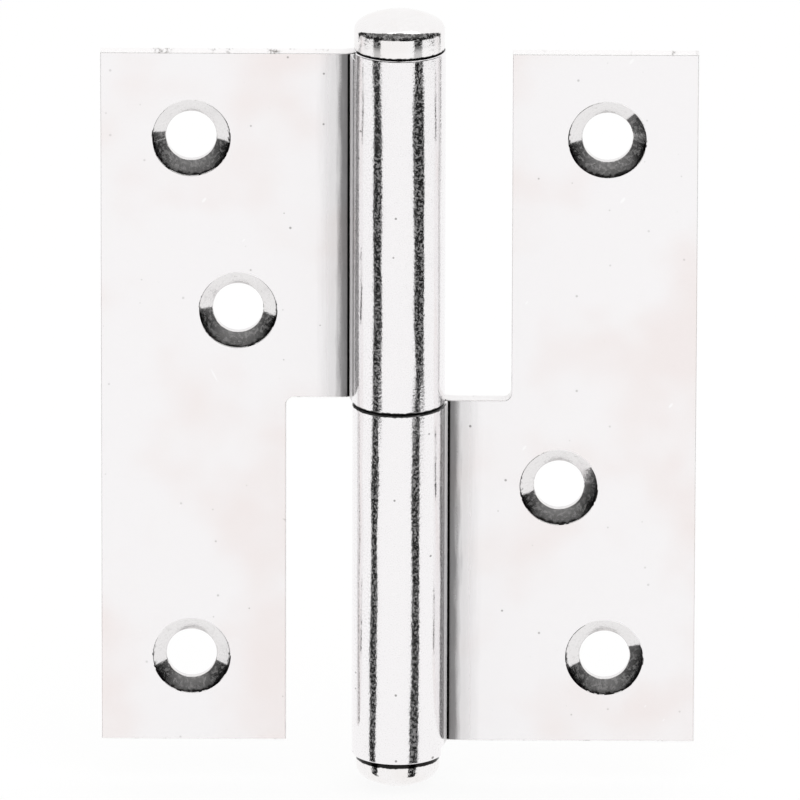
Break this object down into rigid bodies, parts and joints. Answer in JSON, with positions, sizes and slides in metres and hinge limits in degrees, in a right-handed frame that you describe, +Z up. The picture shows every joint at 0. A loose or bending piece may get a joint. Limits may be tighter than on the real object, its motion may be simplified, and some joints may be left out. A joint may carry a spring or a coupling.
{
  "type": "lift off hinge",
  "caption": "Flat lift-off hinge in zinc-plated steel: countersunk leaves with rolled knuckles on a fixed pin, so a door swings on it and lifts straight off.",
  "frame": {"origin": "on the pin axis at mid height, in the seam between the two knuckles", "axes": "+Z up along the pin, the way the door leaf lifts off; +X from the pin to the frame leaf; -Y to the countersunk side that the screws go in from"},
  "size_m": [0.083, 0.0128, 0.1125],
  "materials": {
    "zinc_plated_leaf": "bright zinc plate on rolled steel sheet",
    "zinc_plated_pin": "bright zinc plate on turned steel"
  },
  "bodies": {
    "frame_leaf": {"frame_leaf": "zinc_plated_leaf"},
    "hinge_pin": {"hinge_pin": "zinc_plated_pin"},
    "door_leaf": {"door_leaf": "zinc_plated_leaf", "top_cap": "zinc_plated_pin"}
  },
  "joints": [
    {"name": "leaf_swing", "type": "hinge", "parent": "frame_leaf", "child": "hinge_pin", "pos_m": [0, 0, 0], "axis": [0, 0, 1], "range_deg": [-150, 180]},
    {"name": "lift_off", "type": "slide", "parent": "hinge_pin", "child": "door_leaf", "axis": [0, 0, 1], "range_m": [0, 0.05]}
  ]
}
